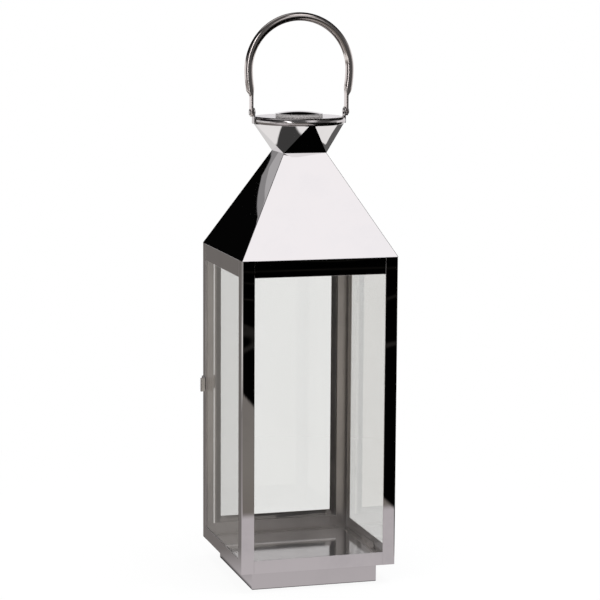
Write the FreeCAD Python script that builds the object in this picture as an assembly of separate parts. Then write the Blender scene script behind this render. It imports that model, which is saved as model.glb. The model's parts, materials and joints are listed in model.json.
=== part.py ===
import FreeCAD, Part

import math
import os

from FreeCAD import Vector

# Glazed body. The origin is on the floor under the middle of the plinth, the door is at +Y.
body_width = 180.0
frame_height = 352.0
sheet = 0.8
fold_radius = 0.7
post_flange = 14.6
bottom_rail_height = 15.0
top_rail_height = 19.0
rail_lip = 8.0

# Plinth and floor of the lantern
plinth_width = 147.0
plinth_height = 23.0
plinth_hem = 10.0
floor_clearance = 0.3

# Fixed panes and the bent clips that hold them
glass_thickness = 2.0
glass_corner_gap = 3.0
glass_top_lap = 10.0
clip_length = 46.0
clip_height = 6.0
clip_foot = 4.5
clip_corner = 4.0
clip_clearance = 0.1

# Roof, flared neck and round top
roof_height = 112.0
neck_width = 50.0
flare_height = 31.5
flare_inset = 0.5
flare_tip_width = 7.5
disc_radius = 52.5
rim_height = 8.4
disc_seat_lap = 1.0
vent_radius = 20.0
cap_radius = 27.0
cap_rise = 3.0
vent_gap = 3.0
spacer_radius = 1.4
spacer_count = 3

# Ears and pivots of the handle
ear_width = 10.0
ear_thickness = 1.5
ear_drop = 13.0
weld_gap = 0.05
pivot_rise = 5.1
pivot_radius = 2.0
pivot_head_radius = 3.4
pivot_head_thickness = 1.2
running_clearance = 0.05
side_clearance = 0.3

# Handle: a bent tube with flattened ends
tube_diameter = 9.5
tube_wall = 1.0
tab_thickness = 3.0
tab_width = 10.0
tab_length = 17.0
taper_length = 10.0
leg_drop = 20.5
bow_swell = 3.4

# Door in the back opening
door_gap = 1.0
door_member = 7.5
door_return = 6.0
door_glass_clearance = 0.4
door_clip_width = 8.0
door_clip_height = 6.2
door_clip_inset = 10.0

# Hinges
hinge_height = 17.0
hinge_inset = 49.0
knuckle_radius = 2.0
knuckle_gap = 0.2
knuckle_lift = 0.3
hinge_pin_radius = 1.0
hinge_pin_head = 0.6
leaf_thickness = 0.8
post_leaf_width = 11.0
door_leaf_width = 7.0

# Spring catch that grips the back left post
catch_height = 16.0
catch_rise = 12.0
catch_thickness = 1.0
catch_clearance = 0.4
catch_reach = 15.0
catch_lip = 3.7
catch_curl_radius = 1.5
catch_bend = 1.2

# Levels and half widths that follow from the sizes above
body_half = body_width / 2
inner_face = body_half - sheet
opening_half = body_half - post_flange
frame_bottom = plinth_height
eave = frame_bottom + frame_height
opening_bottom = frame_bottom + bottom_rail_height
opening_top = eave - top_rail_height
floor_top = frame_bottom + sheet
sill = floor_top + sheet
glass_inner = inner_face - glass_thickness
neck_half = neck_width / 2
neck = eave + roof_height
flare_top = neck + flare_height
flare_reach = disc_radius - flare_inset
disc_top = flare_top + rim_height
cap_base = disc_top + vent_gap
pivot_level = disc_top + pivot_rise
ear_inner = disc_radius + weld_gap
tab_inner = ear_inner + ear_thickness + side_clearance
tab_middle = tab_inner + tab_thickness / 2
tab_top = pivot_level + tab_length
leg_end = tab_top + taper_length
bow_level = leg_end + leg_drop
bow_radius = tab_middle + bow_swell
tube_radius = tube_diameter / 2
door_half = opening_half - door_gap
door_bottom = opening_bottom + door_gap
door_top = opening_top - door_gap
hinge_x = opening_half - door_gap / 2
hinge_y = body_half + knuckle_radius + knuckle_lift
hinge_levels = (door_bottom + hinge_inset, door_top - hinge_inset)
catch_level = (door_bottom + door_top) / 2 + catch_rise

sides = ("front", "right", "back", "left")
glazed_sides = ("front", "right", "left")
corners = ("front_left", "front_right", "back_right", "back_left")
origin = Vector(0, 0, 0)
x_axis = Vector(1, 0, 0)
y_axis = Vector(0, 1, 0)
z_axis = Vector(0, 0, 1)


def save(name, *solids):
    shape = solids[0] if len(solids) == 1 else Part.makeCompound(list(solids))
    shape.exportStep(os.path.join("parts", name + ".step"))


def block(x, y, z):
    low = Vector(min(x), min(y), min(z))
    return Part.makeBox(max(x) - low.x, max(y) - low.y, max(z) - low.z, low)


def joined(first, *others):
    return first.multiFuse(list(others)).removeSplitter()


def turned(shape, quarters):
    copy = shape.copy()
    copy.rotate(origin, z_axis, 90 * quarters)
    return copy


def mirrored(shape):
    return shape.mirror(origin, x_axis)


def upright_edges(shape, x, y):
    def stands_there(edge):
        return all(math.hypot(v.X - x, v.Y - y) < sheet / 100 for v in edge.Vertexes)

    return [edge for edge in shape.Edges if stands_there(edge)]


def solid_from(polygons):
    faces = [Part.Face(Part.makePolygon(points + points[:1])) for points in polygons]
    solid = Part.makeSolid(Part.makeShell(faces))
    if solid.Volume < 0:
        solid.reverse()
    return solid


def revolved(edges):
    return Part.Face(Part.Wire(edges)).revolve(origin, z_axis, 360)


def line(start, end):
    return Part.LineSegment(start, end).toShape()


def arc(start, middle, end):
    return Part.Arc(start, middle, end).toShape()


def plinth():
    half = plinth_width / 2
    inside = half - sheet
    opening = half - plinth_hem
    outer = block((-half, half), (-half, half), (0, plinth_height))
    hollow = block((-inside, inside), (-inside, inside), (sheet, plinth_height - sheet))
    mouth = block((-opening, opening), (-opening, opening), (0, sheet))
    return outer.cut(hollow).cut(mouth)


def floor_plate():
    half = inner_face - floor_clearance
    return block((-half, half), (-half, half), (frame_bottom, floor_top))


def corner_post():
    height = (frame_bottom, eave)
    outside = (-body_half, -inner_face)
    flange = (-body_half, -opening_half)
    post = joined(block(flange, outside, height), block(outside, flange, height))
    post = post.makeFillet(fold_radius + sheet, upright_edges(post, -body_half, -body_half))
    return post.makeFillet(fold_radius, upright_edges(post, -inner_face, -inner_face))


def front_rail(face_levels, lip_levels):
    width = (-opening_half, opening_half)
    face = block(width, (-body_half, -inner_face), face_levels)
    lip = block(width, (-body_half, -inner_face + rail_lip), lip_levels)
    return joined(face, lip)


def bottom_rail():
    return front_rail((frame_bottom, opening_bottom), (floor_top, sill))


def top_rail():
    return front_rail((opening_top, eave), (eave - sheet, eave))


def front_pane():
    half = glass_inner - glass_corner_gap
    top = opening_top + glass_top_lap
    return block((-half, half), (-inner_face, -glass_inner), (sill, top))


def clip_leg(half, depth, low, high, rounded_level):
    leg = block((-half, half), depth, (low, high))
    ends = [
        edge
        for edge in leg.Edges
        if abs(edge.tangentAt(edge.FirstParameter).y) > 0.5
        and abs(edge.Vertexes[0].Z - rounded_level) < sheet / 100
    ]
    return leg.makeFillet(min(clip_corner, half / 2), ends)


def front_clips():
    half = clip_length / 2
    outer = -glass_inner + clip_clearance
    depth = (outer, outer + sheet)
    foot = (outer, outer + clip_foot)
    ledge = eave - sheet
    pane_top = opening_top + glass_top_lap
    low_leg = clip_leg(half, depth, sill, sill + clip_height, sill + clip_height)
    low_foot = block((-half, half), foot, (sill, sill + sheet))
    high_leg = clip_leg(half, depth, pane_top - clip_height, ledge, pane_top - clip_height)
    high_foot = block((-half, half), foot, (ledge - sheet, ledge))
    return joined(low_leg, low_foot), joined(high_leg, high_foot)


def front_edge(half, level):
    return [Vector(-half, -half, level), Vector(half, -half, level)]


def roof_panel():
    run = body_half - neck_half
    wall = sheet * math.hypot(run, roof_height) / roof_height
    left, right = front_edge(body_half, eave)
    top_left, top_right = front_edge(neck_half, neck)
    in_left, in_right = front_edge(body_half - wall, eave)
    in_top_left, in_top_right = front_edge(neck_half - wall, neck)
    return solid_from(
        [
            [left, right, top_right, top_left],
            [in_left, in_right, in_top_right, in_top_left],
            [left, right, in_right, in_left],
            [top_left, top_right, in_top_right, in_top_left],
            [left, top_left, in_top_left, in_left],
            [right, top_right, in_top_right, in_right],
        ]
    )


def faceted_block(half, reach):
    tip = flare_tip_width / 2
    base = [Vector(x * half, y * half, neck) for x, y in ((-1, -1), (1, -1), (1, 1), (-1, 1))]
    starts = [(-tip, -reach), (reach, -tip), (tip, reach), (-reach, tip)]
    ends = [(tip, -reach), (reach, tip), (-tip, reach), (-reach, -tip)]
    start = [Vector(x, y, flare_top) for x, y in starts]
    end = [Vector(x, y, flare_top) for x, y in ends]
    top = [point for pair in zip(start, end) for point in pair]
    upright = [[base[i], base[(i + 1) % 4], end[i], start[i]] for i in range(4)]
    hanging = [[base[i], end[i - 1], start[i]] for i in range(4)]
    return solid_from([base, top] + upright + hanging)


def chimney_flare():
    outer = faceted_block(neck_half, flare_reach)
    return outer.cut(faceted_block(neck_half - sheet, flare_reach - 2 * sheet))


def top_disc():
    roll = rim_height / 2
    middle = flare_top + roll
    shoulder = disc_radius - roll
    seat = (flare_reach + flare_tip_width / 2) / math.sqrt(2) - disc_seat_lap

    def at(radius, level):
        return Vector(radius, 0, level)

    inside_top = at(shoulder, disc_top - sheet)
    inside_low = at(shoulder, flare_top + sheet)
    return revolved(
        [
            line(at(vent_radius, disc_top), at(shoulder, disc_top)),
            arc(at(shoulder, disc_top), at(disc_radius, middle), at(shoulder, flare_top)),
            line(at(shoulder, flare_top), at(seat, flare_top)),
            line(at(seat, flare_top), at(seat, flare_top + sheet)),
            line(at(seat, flare_top + sheet), inside_low),
            arc(inside_low, at(disc_radius - sheet, middle), inside_top),
            line(inside_top, at(vent_radius, disc_top - sheet)),
            line(at(vent_radius, disc_top - sheet), at(vent_radius, disc_top)),
        ]
    )


def cap_sphere_radius():
    return (cap_radius**2 + cap_rise**2) / (2 * cap_rise)


def cap_inner_radius():
    sphere = cap_sphere_radius()
    return math.sqrt((sphere - sheet) ** 2 - (sphere - cap_rise) ** 2)


def vent_cap():
    centre = cap_base + cap_rise - cap_sphere_radius()

    def dome(sphere, radius):
        half_angle = math.asin(radius / sphere) / 2
        top = Vector(0, 0, centre + sphere)
        middle = Vector(sphere * math.sin(half_angle), 0, centre + sphere * math.cos(half_angle))
        return top, middle, Vector(radius, 0, cap_base)

    outer = dome(cap_sphere_radius(), cap_radius)
    inner = dome(cap_sphere_radius() - sheet, cap_inner_radius())
    edges = [arc(*outer), line(outer[2], inner[2]), arc(*inner), line(inner[0], outer[0])]
    return revolved(edges)


def vent_spacers():
    ring = (cap_radius + cap_inner_radius()) / 2
    angles = [2 * math.pi * i / spacer_count for i in range(spacer_count)]
    feet = [Vector(ring * math.cos(a), ring * math.sin(a), disc_top) for a in angles]
    return [Part.makeCylinder(spacer_radius, vent_gap, foot) for foot in feet]


def pivot_bore(radius):
    start = Vector(0, 0, pivot_level)
    return Part.makeCylinder(radius, body_half, start, x_axis)


def right_ear():
    outer = ear_inner + ear_thickness
    half = ear_width / 2
    plate = block((ear_inner, outer), (-half, half), (pivot_level - ear_drop, pivot_level))
    round_end = Part.makeCylinder(half, ear_thickness, Vector(ear_inner, 0, pivot_level), x_axis)
    return joined(plate, round_end).cut(pivot_bore(pivot_radius + running_clearance))


def right_pivot():
    head_start = tab_inner + tab_thickness + side_clearance
    tail_start = ear_inner - pivot_head_thickness

    def turned_bar(radius, start, end):
        return Part.makeCylinder(radius, end - start, Vector(start, 0, pivot_level), x_axis)

    return joined(
        turned_bar(pivot_radius, tail_start, head_start),
        turned_bar(pivot_head_radius, tail_start, ear_inner),
        turned_bar(pivot_head_radius, head_start, head_start + pivot_head_thickness),
    )


def leg_curve():
    sweep = bow_swell / 2
    radius = (sweep**2 + leg_drop**2) / (2 * sweep)
    return radius, math.asin(leg_drop / radius)


def leg_point(angle):
    radius, _ = leg_curve()
    return Vector(bow_radius - radius * (1 - math.cos(angle)), 0, bow_level - radius * math.sin(angle))


def bow_tube(radius):
    _, lean = leg_curve()
    right = [leg_point(0), leg_point(lean / 2), leg_point(lean)]
    left = [Vector(-p.x, 0, p.z) for p in right]
    crown = Vector(0, 0, bow_level + bow_radius)
    path = Part.Wire([arc(left[2], left[1], left[0]), arc(left[0], crown, right[0]), arc(*right)])
    heading = Vector(-math.sin(lean), 0, math.cos(lean))
    section = Part.Wire([Part.makeCircle(radius, left[2], heading)])
    return path.makePipeShell([section], True, False)


def slot_section(level):
    side = tab_thickness / 2
    straight = tab_width / 2 - side
    back, front = tab_middle - side, tab_middle + side
    near, far = -straight, straight
    return Part.Wire(
        [
            line(Vector(front, near, level), Vector(front, far, level)),
            arc(Vector(front, far, level), Vector(tab_middle, far + side, level), Vector(back, far, level)),
            line(Vector(back, far, level), Vector(back, near, level)),
            arc(Vector(back, near, level), Vector(tab_middle, near - side, level), Vector(front, near, level)),
        ]
    )


def leg_section():
    _, lean = leg_curve()
    centre = leg_point(lean)
    across = Vector(math.cos(lean), 0, -math.sin(lean))
    corner = math.atan2(tab_width - tab_thickness, tab_thickness)
    stops = (-corner, corner, math.pi - corner, math.pi + corner, 2 * math.pi - corner)

    def at(angle):
        return centre + across * (tube_radius * math.cos(angle)) + y_axis * (tube_radius * math.sin(angle))

    return Part.Wire([arc(at(a), at((a + b) / 2), at(b)) for a, b in zip(stops, stops[1:])])


def right_tab():
    taper = Part.makeLoft([leg_section(), slot_section(tab_top)], True, True)
    flat = Part.Face(slot_section(pivot_level)).extrude(z_axis * tab_length)
    eye = Part.makeCylinder(tab_width / 2, tab_thickness, Vector(tab_inner, 0, pivot_level), x_axis)
    return joined(taper, flat, eye).cut(pivot_bore(pivot_radius + running_clearance))


def handle():
    tab = right_tab()
    bar = joined(bow_tube(tube_radius), tab, mirrored(tab))
    return bar.cut(bow_tube(tube_radius - tube_wall))


def right_stile():
    levels = (door_bottom, door_top)
    face = block((door_half - door_member, door_half), (inner_face, body_half), levels)
    back = block((door_half - sheet, door_half), (body_half - door_return, body_half), levels)
    return joined(face, back)


def door_rail(edge, inward):
    face_half = door_half - door_member
    back_half = door_half - sheet
    face_levels = (edge, edge + inward * door_member)
    back_levels = (edge, edge + inward * sheet)
    face = block((-face_half, face_half), (inner_face, body_half), face_levels)
    back = block((-back_half, back_half), (body_half - door_return, inner_face), back_levels)
    return joined(face, back)


def door_glass():
    half = door_half - sheet - door_glass_clearance
    levels = (door_bottom + sheet, door_top - sheet - door_glass_clearance)
    return block((-half, half), (glass_inner, inner_face), levels)


def door_clip(middle, edge, inward):
    outer = glass_inner - clip_clearance
    half = door_clip_width / 2
    shoulder = edge + inward * (door_clip_height - half)
    leg = block((middle - half, middle + half), (outer - sheet, outer), (edge, shoulder))
    round_end = Part.makeCylinder(half, sheet, Vector(middle, outer - sheet, shoulder), y_axis)
    clip = joined(leg, round_end)
    beyond = block((middle - half, middle + half), (outer - sheet, outer), (edge, edge - inward * half))
    return clip.cut(beyond)


def door_clips():
    middle = door_half - door_clip_inset
    ledges = ((door_bottom + sheet, 1), (door_top - sheet, -1))
    return [door_clip(x, edge, inward) for x in (-middle, middle) for edge, inward in ledges]


def hinge_cylinder(radius, low, high):
    return Part.makeCylinder(radius, high - low, Vector(hinge_x, hinge_y, low))


def hinge_leaf(level, reach, knuckles):
    half = hinge_height / 2
    room = math.copysign(knuckle_radius + knuckle_gap, reach)
    depth = (body_half, body_half + leaf_thickness)
    leaf = block((hinge_x + room, hinge_x + reach), depth, (level - half, level + half))
    for low, high in knuckles:
        strap = block((hinge_x, hinge_x + room), depth, (level + low, level + high))
        leaf = joined(leaf, strap, hinge_cylinder(knuckle_radius, level + low, level + high))
    return leaf.cut(hinge_cylinder(hinge_pin_radius + running_clearance, level - half, level + half))


def post_leaf(level):
    half = hinge_height / 2
    inner = hinge_height / 6 + knuckle_gap / 2
    return hinge_leaf(level, post_leaf_width, ((-half, -inner), (inner, half)))


def door_leaf(level):
    inner = hinge_height / 6 - knuckle_gap / 2
    return hinge_leaf(level, -door_leaf_width, ((-inner, inner),))


def hinge_pin(level):
    half = hinge_height / 2
    head_top = level + half + hinge_pin_head
    shank = hinge_cylinder(hinge_pin_radius, level - half, head_top)
    return joined(shank, hinge_cylinder(knuckle_radius, level + half, head_top))


def door_catch():
    levels = (catch_level - catch_height / 2, catch_level + catch_height / 2)
    near = body_half + catch_clearance
    far = near + catch_thickness
    front = body_half - catch_reach
    stile = (-door_half, -door_half + door_member)
    tip = -far - catch_lip
    pad = block(stile, (body_half, near), levels)
    back_arm = block((-far, stile[1]), (near, far), levels)
    side_arm = block((-far, -near), (front, far), levels)
    lip = block((tip, -near), (front, front + catch_thickness), levels)
    curl_place = Vector(tip, front + catch_thickness / 2, levels[0])
    curl = Part.makeCylinder(catch_curl_radius, catch_height, curl_place)
    catch = joined(pad, back_arm, side_arm, lip, curl)
    return catch.makeFillet(catch_bend, upright_edges(catch, -far, far))


os.makedirs("parts", exist_ok=True)
save("plinth", plinth())
save("floor_plate", floor_plate())
for quarters, corner in enumerate(corners):
    save("post_" + corner, turned(corner_post(), quarters))
for quarters, side in enumerate(sides):
    save("bottom_rail_" + side, turned(bottom_rail(), quarters))
    save("top_rail_" + side, turned(top_rail(), quarters))
    save("roof_" + side, turned(roof_panel(), quarters))
    if side in glazed_sides:
        save("glass_" + side, turned(front_pane(), quarters))
        save("glass_clips_" + side, *[turned(clip, quarters) for clip in front_clips()])
save("chimney_flare", chimney_flare())
save("top_disc", top_disc())
save("vent_cap", vent_cap())
save("vent_spacers", *vent_spacers())
save("handle_ear_right", right_ear())
save("handle_ear_left", mirrored(right_ear()))
save("handle_pivot_right", right_pivot())
save("handle_pivot_left", mirrored(right_pivot()))
save("handle", handle())
save("door_stile_hinge", right_stile())
save("door_stile_catch", mirrored(right_stile()))
save("door_rail_bottom", door_rail(door_bottom, 1))
save("door_rail_top", door_rail(door_top, -1))
save("door_glass", door_glass())
save("door_glass_clips", *door_clips())
save("hinge_leaves_post", *[post_leaf(level) for level in hinge_levels])
save("hinge_leaves_door", *[door_leaf(level) for level in hinge_levels])
save("hinge_pins", *[hinge_pin(level) for level in hinge_levels])
save("door_catch", door_catch())
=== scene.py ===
import json
import math

import bmesh
import bpy
import numpy as np
from mathutils import Matrix, Vector

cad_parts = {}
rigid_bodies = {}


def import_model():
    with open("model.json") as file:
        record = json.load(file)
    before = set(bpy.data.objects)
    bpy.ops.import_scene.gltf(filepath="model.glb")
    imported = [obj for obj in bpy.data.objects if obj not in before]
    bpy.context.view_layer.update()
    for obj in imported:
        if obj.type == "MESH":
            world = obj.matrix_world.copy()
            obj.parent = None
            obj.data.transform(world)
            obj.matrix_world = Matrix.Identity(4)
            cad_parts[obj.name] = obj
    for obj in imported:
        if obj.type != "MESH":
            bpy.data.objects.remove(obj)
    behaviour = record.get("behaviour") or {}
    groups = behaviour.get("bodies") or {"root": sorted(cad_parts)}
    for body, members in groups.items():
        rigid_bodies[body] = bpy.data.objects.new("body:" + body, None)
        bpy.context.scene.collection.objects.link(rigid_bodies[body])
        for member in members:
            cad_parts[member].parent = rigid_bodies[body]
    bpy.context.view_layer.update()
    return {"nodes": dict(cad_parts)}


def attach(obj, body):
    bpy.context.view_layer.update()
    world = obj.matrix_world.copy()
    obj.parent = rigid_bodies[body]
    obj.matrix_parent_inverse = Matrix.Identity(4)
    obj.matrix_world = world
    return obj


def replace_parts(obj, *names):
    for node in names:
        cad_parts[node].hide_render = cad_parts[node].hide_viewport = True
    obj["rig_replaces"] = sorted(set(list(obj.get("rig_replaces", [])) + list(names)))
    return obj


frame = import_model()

nodes = frame["nodes"]
mm = 0.001
sideNames = ("front", "right", "back", "left")
scene = bpy.context.scene
scene.view_settings.view_transform = "Standard"
print("frame loaded:", len(nodes), "nodes")


# mesh helpers

# quads join each point of a (u, v) grid to the next along u and along v; wrap closes that direction
def gridFaces(shape, wrapU, wrapV, start):
    nu, nv = shape
    a, b = np.meshgrid(np.arange(nu - (not wrapU)), np.arange(nv - (not wrapV)), indexing="ij")
    c, d = (a + 1) % nu, (b + 1) % nv
    quads = np.stack([a * nv + b, c * nv + b, c * nv + d, a * nv + d], axis=-1)
    return start + quads.reshape(-1, 4)


# points that fall together (poles, seams) are merged; distances are in metres
def closeMesh(mesh, merge=2e-6, sliver=1e-7):
    work = bmesh.new()
    work.from_mesh(mesh)
    bmesh.ops.remove_doubles(work, verts=work.verts[:], dist=merge)
    bmesh.ops.dissolve_degenerate(work, edges=work.edges[:], dist=sliver)
    bmesh.ops.recalc_face_normals(work, faces=work.faces[:])
    work.to_mesh(mesh)
    work.free()


# inner(centres in mm, normals) gives each face 0 for the main material, or the place of a lining
def lineFaces(mesh, linings, inner):
    for lining in linings:
        mesh.materials.append(lining)
    centres, normals = (np.empty(len(mesh.polygons) * 3) for _ in range(2))
    mesh.polygons.foreach_get("center", centres)
    mesh.polygons.foreach_get("normal", normals)
    picked = inner(centres.reshape(-1, 3) / mm, normals.reshape(-1, 3))
    mesh.polygons.foreach_set("material_index", picked.astype(np.int32))


# the grids of one piece, in mm, go into one mesh; caps are (first point, count) of end faces
def layPiece(name, grids, body, material, stands=(), sharp=40, caps=(),
             linings=(), inner=None, flat=True):
    points, faces, start = [], [], 0
    for grid, wrapU, wrapV in grids:
        points.append(grid.reshape(-1, 3))
        faces += gridFaces(grid.shape[:2], wrapU, wrapV, start).tolist()
        start += len(points[-1])
    for first, count in caps:
        faces.append(list(range(first, first + count)))
    mesh = bpy.data.meshes.new(name)
    mesh.from_pydata((np.concatenate(points) * mm).tolist(), [], faces)
    closeMesh(mesh)
    mesh.polygons.foreach_set("use_smooth", np.ones(len(mesh.polygons), dtype=bool))
    mesh.set_sharp_from_angle(angle=math.radians(sharp))
    mesh.materials.append(material)
    if linings:
        lineFaces(mesh, linings, inner)
    piece = bpy.data.objects.new(name, mesh)
    scene.collection.objects.link(piece)
    if flat:  # flats stay true mirrors beside a rounded edge
        piece.modifiers.new("flatNormals", "WEIGHTED_NORMAL").keep_sharp = True
    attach(piece, body)
    if stands:
        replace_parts(piece, *stands)


# a polygon whose corners are rounded: each corner of radius r becomes an arc tangent to its sides
def roundedLoop(corners, radii, steps=4):
    corner = np.asarray(corners, float)
    before, after = np.roll(corner, 1, axis=0) - corner, np.roll(corner, -1, axis=0) - corner
    before /= np.linalg.norm(before, axis=1)[:, None]
    after /= np.linalg.norm(after, axis=1)[:, None]
    half = np.arccos(np.clip((before * after).sum(1), -1, 1)) / 2
    radius = np.broadcast_to(np.asarray(radii, float), half.shape)
    middle = before + after
    middle /= np.linalg.norm(middle, axis=1)[:, None]
    centre = corner + middle * (radius / np.sin(half))[:, None]
    turn = np.linspace(-1, 1, steps + 1)[None, :] * (math.pi / 2 - half)[:, None]
    side = np.stack([-middle[:, 1], middle[:, 0]], axis=1)
    side *= np.sign((side * after).sum(1))[:, None]
    arcs = -middle[:, None] * np.cos(turn)[..., None] + side[:, None] * np.sin(turn)[..., None]
    return (centre[:, None] + arcs * radius[:, None, None]).reshape(-1, 2)


# a rectangle with rounded corners, from its low and high corner
def roundedBox(low, high, radius, steps=4):
    corners = [low, (high[0], low[1]), high, (low[0], high[1])]
    return roundedLoop(corners, radius, steps)


# a flat loop carried straight along one axis, closed by its own outline at both ends
def straightBar(loop, low, high, axis):
    count = len(loop)
    bar = np.zeros((2, count, 3))
    across = [i for i in range(3) if i != axis]
    bar[:, :, across] = loop
    bar[0, :, axis], bar[1, :, axis] = low, high
    return (bar, False, True), ((0, count), (count, count))


# quarter turns about the upright axis: x, y become x cos - y sin, x sin + y cos
def quarterTurn(points, count):
    c, s = ((1, 0), (0, 1), (-1, 0), (0, -1))[count]
    turned = points.copy()
    turned[..., 0] = points[..., 0] * c - points[..., 1] * s
    turned[..., 1] = points[..., 0] * s + points[..., 1] * c
    return turned


# a profile of (radius, height) turned about the upright axis through (x, y)
def lathe(profile, segments, centre=(0.0, 0.0)):
    profile = np.asarray(profile, float)
    turn = np.linspace(0, 2 * math.pi, segments, endpoint=False)[:, None]
    radius = profile[None, :, 0]
    height = np.broadcast_to(profile[None, :, 1], (segments, len(profile)))
    x, y = centre[0] + radius * np.cos(turn), centre[1] + radius * np.sin(turn)
    return np.stack([x, y, height], axis=-1)


# points on a circle arc about (cx, cy), from one angle to another in degrees
def arcPoints(cx, cy, radius, start, end, steps):
    turn = np.radians(np.linspace(start, end, steps + 1))
    return np.stack([cx + radius * np.cos(turn), cy + radius * np.sin(turn)], axis=1)


# unit directions along a line of points
def directions(line):
    run = np.gradient(line, axis=0)
    return run / np.linalg.norm(run, axis=1)[:, None]


liningTilt = 0.1  # share of a face's normal from which it counts as looking up or down


def facesDown(centres, normals):
    return normals[:, 2] < -liningTilt


def facesUp(centres, normals):
    return normals[:, 2] > liningTilt


# materials

# adds a shader node and gives its outputs; inputs go by name, or by number as i0, i1 and so on
def wire(tree, kind, settings=None, **inputs):
    node = tree.nodes.new("ShaderNode" + kind)
    for key, value in (settings or {}).items():
        setattr(node, key, value)
    for key, value in inputs.items():
        numbered = key[0] == "i" and key[1:].isdigit()
        socket = node.inputs[int(key[1:]) if numbered else key.replace("_", " ")]
        if isinstance(value, bpy.types.NodeSocket):
            tree.links.new(value, socket)
        else:
            socket.default_value = value
    return node.outputs


# a value's range carried to another, held at both ends; a value's id_data is its own tree
def spread(value, low, high, fromLow=0.0, fromHigh=1.0, soft=False):
    kind = {"interpolation_type": "SMOOTHSTEP" if soft else "LINEAR"}
    ends = {"i1": fromLow, "i2": fromHigh, "i3": low, "i4": high}
    return wire(value.id_data, "MapRange", kind, i0=value, **ends)[0]


def blendTones(share, first, second):
    tones = {"i6": (*first, 1), "i7": (*second, 1)}
    return wire(share.id_data, "Mix", {"data_type": "RGBA"}, i0=share, **tones)[2]


def newMaterial(name):
    material = bpy.data.materials.new(name)
    material.use_nodes = True
    tree = material.node_tree
    place = wire(tree, "TexCoord")["Object"]
    return material, tree, tree.nodes["Principled BSDF"], place


steelLook = {
    "tone": (0.79, 0.775, 0.77),      # polished stainless, a touch warm
    "cloudTone": (0.71, 0.70, 0.70),  # thin haze of handling
    "metal": 1.0,
    "waveScale": 5.0, "waveDepth": 0.00022,  # slow waviness of rolled sheet
    "hazeScale": 14.0, "hazeDetail": 5.0, "hazeRough": 0.6,
    "cloudFrom": (0.45, 0.75), "glossFrom": (0.35, 0.8),  # parts of the haze that cloud and dull
    "gloss": (0.008, 0.03),
    "grain": (1.0, 1.0, 30.0),  # length of the scratches along each axis
    "scratchScale": 900.0, "scratchDetail": 3.0, "scratchStrength": 0.6, "scratchDepth": 0.0000035,
}


# mirror steel: slow noise tilts it a little, a cloudy noise dulls it, stretched noise scratches it
def steelMaterial(name, **changes):
    look = {**steelLook, **changes}
    material, tree, shader, place = newMaterial(name)
    wave = wire(tree, "TexNoise", Vector=place, Scale=look["waveScale"], Detail=0.0)[0]
    haze = wire(tree, "TexNoise", Vector=place, Scale=look["hazeScale"],
                Detail=look["hazeDetail"], Roughness=look["hazeRough"])[0]
    fine = tuple(look["scratchScale"] / length for length in look["grain"])
    stretch = wire(tree, "Mapping", Vector=place, Scale=fine)[0]
    scratch = wire(tree, "TexNoise", Vector=stretch, Scale=1.0, Detail=look["scratchDetail"])[0]
    cloud = spread(haze, 0.0, 1.0, *look["cloudFrom"], True)
    tone = blendTones(cloud, look["tone"], look["cloudTone"])
    gloss = spread(haze, *look["gloss"], *look["glossFrom"])
    sway = wire(tree, "Bump", Height=wave, Strength=1.0, Distance=look["waveDepth"])[0]
    marks = wire(tree, "Bump", Height=scratch, Strength=look["scratchStrength"],
                 Distance=look["scratchDepth"], Normal=sway)[0]
    for socket, value in (("Base Color", tone), ("Roughness", gloss), ("Normal", marks)):
        tree.links.new(value, shader.inputs[socket])
    shader.inputs["Metallic"].default_value = look["metal"]
    return material


glassLook = {"tone": (0.945, 0.95, 0.945), "smear": (0.925, 0.93, 0.925), "ior": 1.5,
             "smearScale": 9.0, "smearDetail": 4.0, "smearFrom": (0.5, 0.8), "smearGloss": 0.02,
             "stretch": (1.0, 1.0, 0.35), "turn": (0.2, 0.3, 0.0)}


# clear float glass: nearly no roughness, with faint wiped smears from a stretched noise
def glassMaterial(name, **changes):
    look = {**glassLook, **changes}
    material, tree, shader, place = newMaterial(name)
    tilt = wire(tree, "Mapping", Vector=place, Scale=look["stretch"], Rotation=look["turn"])[0]
    smear = wire(tree, "TexNoise", Vector=tilt, Scale=look["smearScale"],
                 Detail=look["smearDetail"])[0]
    wiped = spread(smear, 0.0, 1.0, *look["smearFrom"], True)
    tone = blendTones(wiped, look["tone"], look["smear"])
    tree.links.new(tone, shader.inputs["Base Color"])
    tree.links.new(spread(wiped, 0.0, look["smearGloss"]), shader.inputs["Roughness"])
    shader.inputs["Transmission Weight"].default_value = 1.0
    shader.inputs["IOR"].default_value = look["ior"]
    return material


sheetSteel = steelMaterial("polishedSheet")
roofSteel = steelMaterial(
    "roofSheet", grain=(30.0, 30.0, 1.0), cloudTone=(0.765, 0.755, 0.755), gloss=(0.004, 0.014),
    waveScale=9.0, waveDepth=0.00016, scratchDepth=0.000001)
neckSteel = steelMaterial(
    "neckFacets", gloss=(0.006, 0.02), waveDepth=0.00004, scratchDepth=0.000001)
baseSteel = steelMaterial(
    "plinthSheet", tone=(0.725, 0.71, 0.705), cloudTone=(0.68, 0.67, 0.665))
spunSteel = steelMaterial(
    "spunTop", grain=(6.0, 6.0, 1.0), tone=(0.80, 0.77, 0.765), gloss=(0.12, 0.15),
    waveDepth=0.00003, scratchDepth=0.0000003)
rimSteel = steelMaterial(
    "rolledRim", tone=(0.76, 0.73, 0.72), gloss=(0.15, 0.20), waveDepth=0.00002, scratchDepth=0.0)
capSteel = steelMaterial(
    "spunCap", grain=(6.0, 6.0, 1.0), gloss=(0.03, 0.06), waveDepth=0.00002,
    scratchDepth=0.0000002)
tubeSteel = steelMaterial(
    "bentTube", grain=(8.0, 1.0, 8.0), tone=(0.82, 0.765, 0.725), cloudTone=(0.78, 0.725, 0.69),
    gloss=(0.13, 0.15), waveDepth=0.00001, scratchDepth=0.0)
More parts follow.
